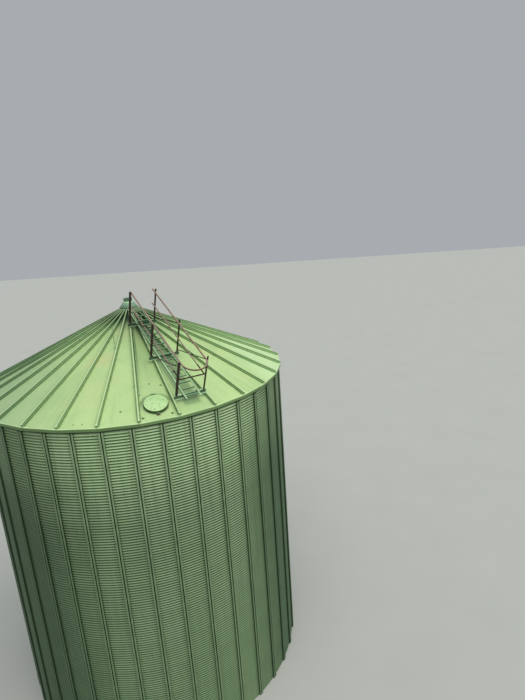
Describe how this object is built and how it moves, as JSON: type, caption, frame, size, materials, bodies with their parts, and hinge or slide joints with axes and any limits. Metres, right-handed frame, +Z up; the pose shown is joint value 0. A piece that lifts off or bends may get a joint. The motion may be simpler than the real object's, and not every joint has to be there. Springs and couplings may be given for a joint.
{
  "type": "grain silo",
  "caption": "Round farm silo of corrugated steel sheets with outside stiffeners, a conical ribbed roof, a peak cap, a hinged roof hatch and a roof ladder with handrails.",
  "frame": {"origin": "on the silo's axis, at the ground", "axes": "+Z up; the roof hatch and the roof ladder are on the side that faces -Y, and the ladder is turned 30 degrees from it towards +X"},
  "size_m": [9.313, 9.3596, 12.781],
  "materials": {
    "wall_paint": "weathered green paint on corrugated steel",
    "roof_paint": "weathered light green paint on flat steel sheet",
    "lid_paint": "light green paint with a pale edge",
    "fittings_paint": "green paint on steel sections",
    "brown_paint": "brown paint, rusty at the edges",
    "zinc_coating": "dull zinc"
  },
  "bodies": {
    "silo": {"base_ring": "zinc_coating", "brace_left_1": "brown_paint", "brace_left_2": "brown_paint", "brace_right_1": "brown_paint", "brace_right_2": "brown_paint", "conduit": "fittings_paint", "cross_member_1": "fittings_paint", "cross_member_2": "fittings_paint", "cross_member_3": "fittings_paint", "eye_bracket": "fittings_paint", "handrail": "brown_paint", "handrail_post_left_1": "brown_paint", "handrail_post_left_2": "brown_paint", "handrail_post_left_3": "brown_paint", "handrail_post_right_1": "brown_paint", "handrail_post_right_2": "brown_paint", "handrail_post_right_3": "brown_paint", "hatch_collar": "fittings_paint", "hatch_keeper": "brown_paint", "mid_rail": "brown_paint", "peak_cap": "fittings_paint", "peak_ring": "zinc_coating", "roof_ladder": "fittings_paint", "roof_sector_01": "roof_paint", "roof_sector_02": "roof_paint", "roof_sector_03": "roof_paint", "roof_sector_04": "roof_paint", "roof_sector_05": "roof_paint", "roof_sector_06": "roof_paint", "roof_sector_07": "roof_paint", "roof_sector_08": "roof_paint", "roof_sector_09": "roof_paint", "roof_sector_10": "roof_paint", "wall_segment_01": "wall_paint", "wall_segment_02": "wall_paint", "wall_segment_03": "wall_paint", "wall_segment_04": "wall_paint", "wall_segment_05": "wall_paint", "wall_segment_06": "wall_paint", "wall_segment_07": "wall_paint", "wall_segment_08": "wall_paint", "wall_segment_09": "wall_paint", "wall_segment_10": "wall_paint"},
    "hatch_lid": {"hatch_lid": "lid_paint"}
  },
  "joints": [
    {"name": "hatch_hinge", "type": "hinge", "parent": "silo", "child": "hatch_lid", "pos_m": [1.20404, -3.70566, 10.41956], "axis": [-0.9511, -0.309, 0], "range_deg": [0, 115]}
  ]
}
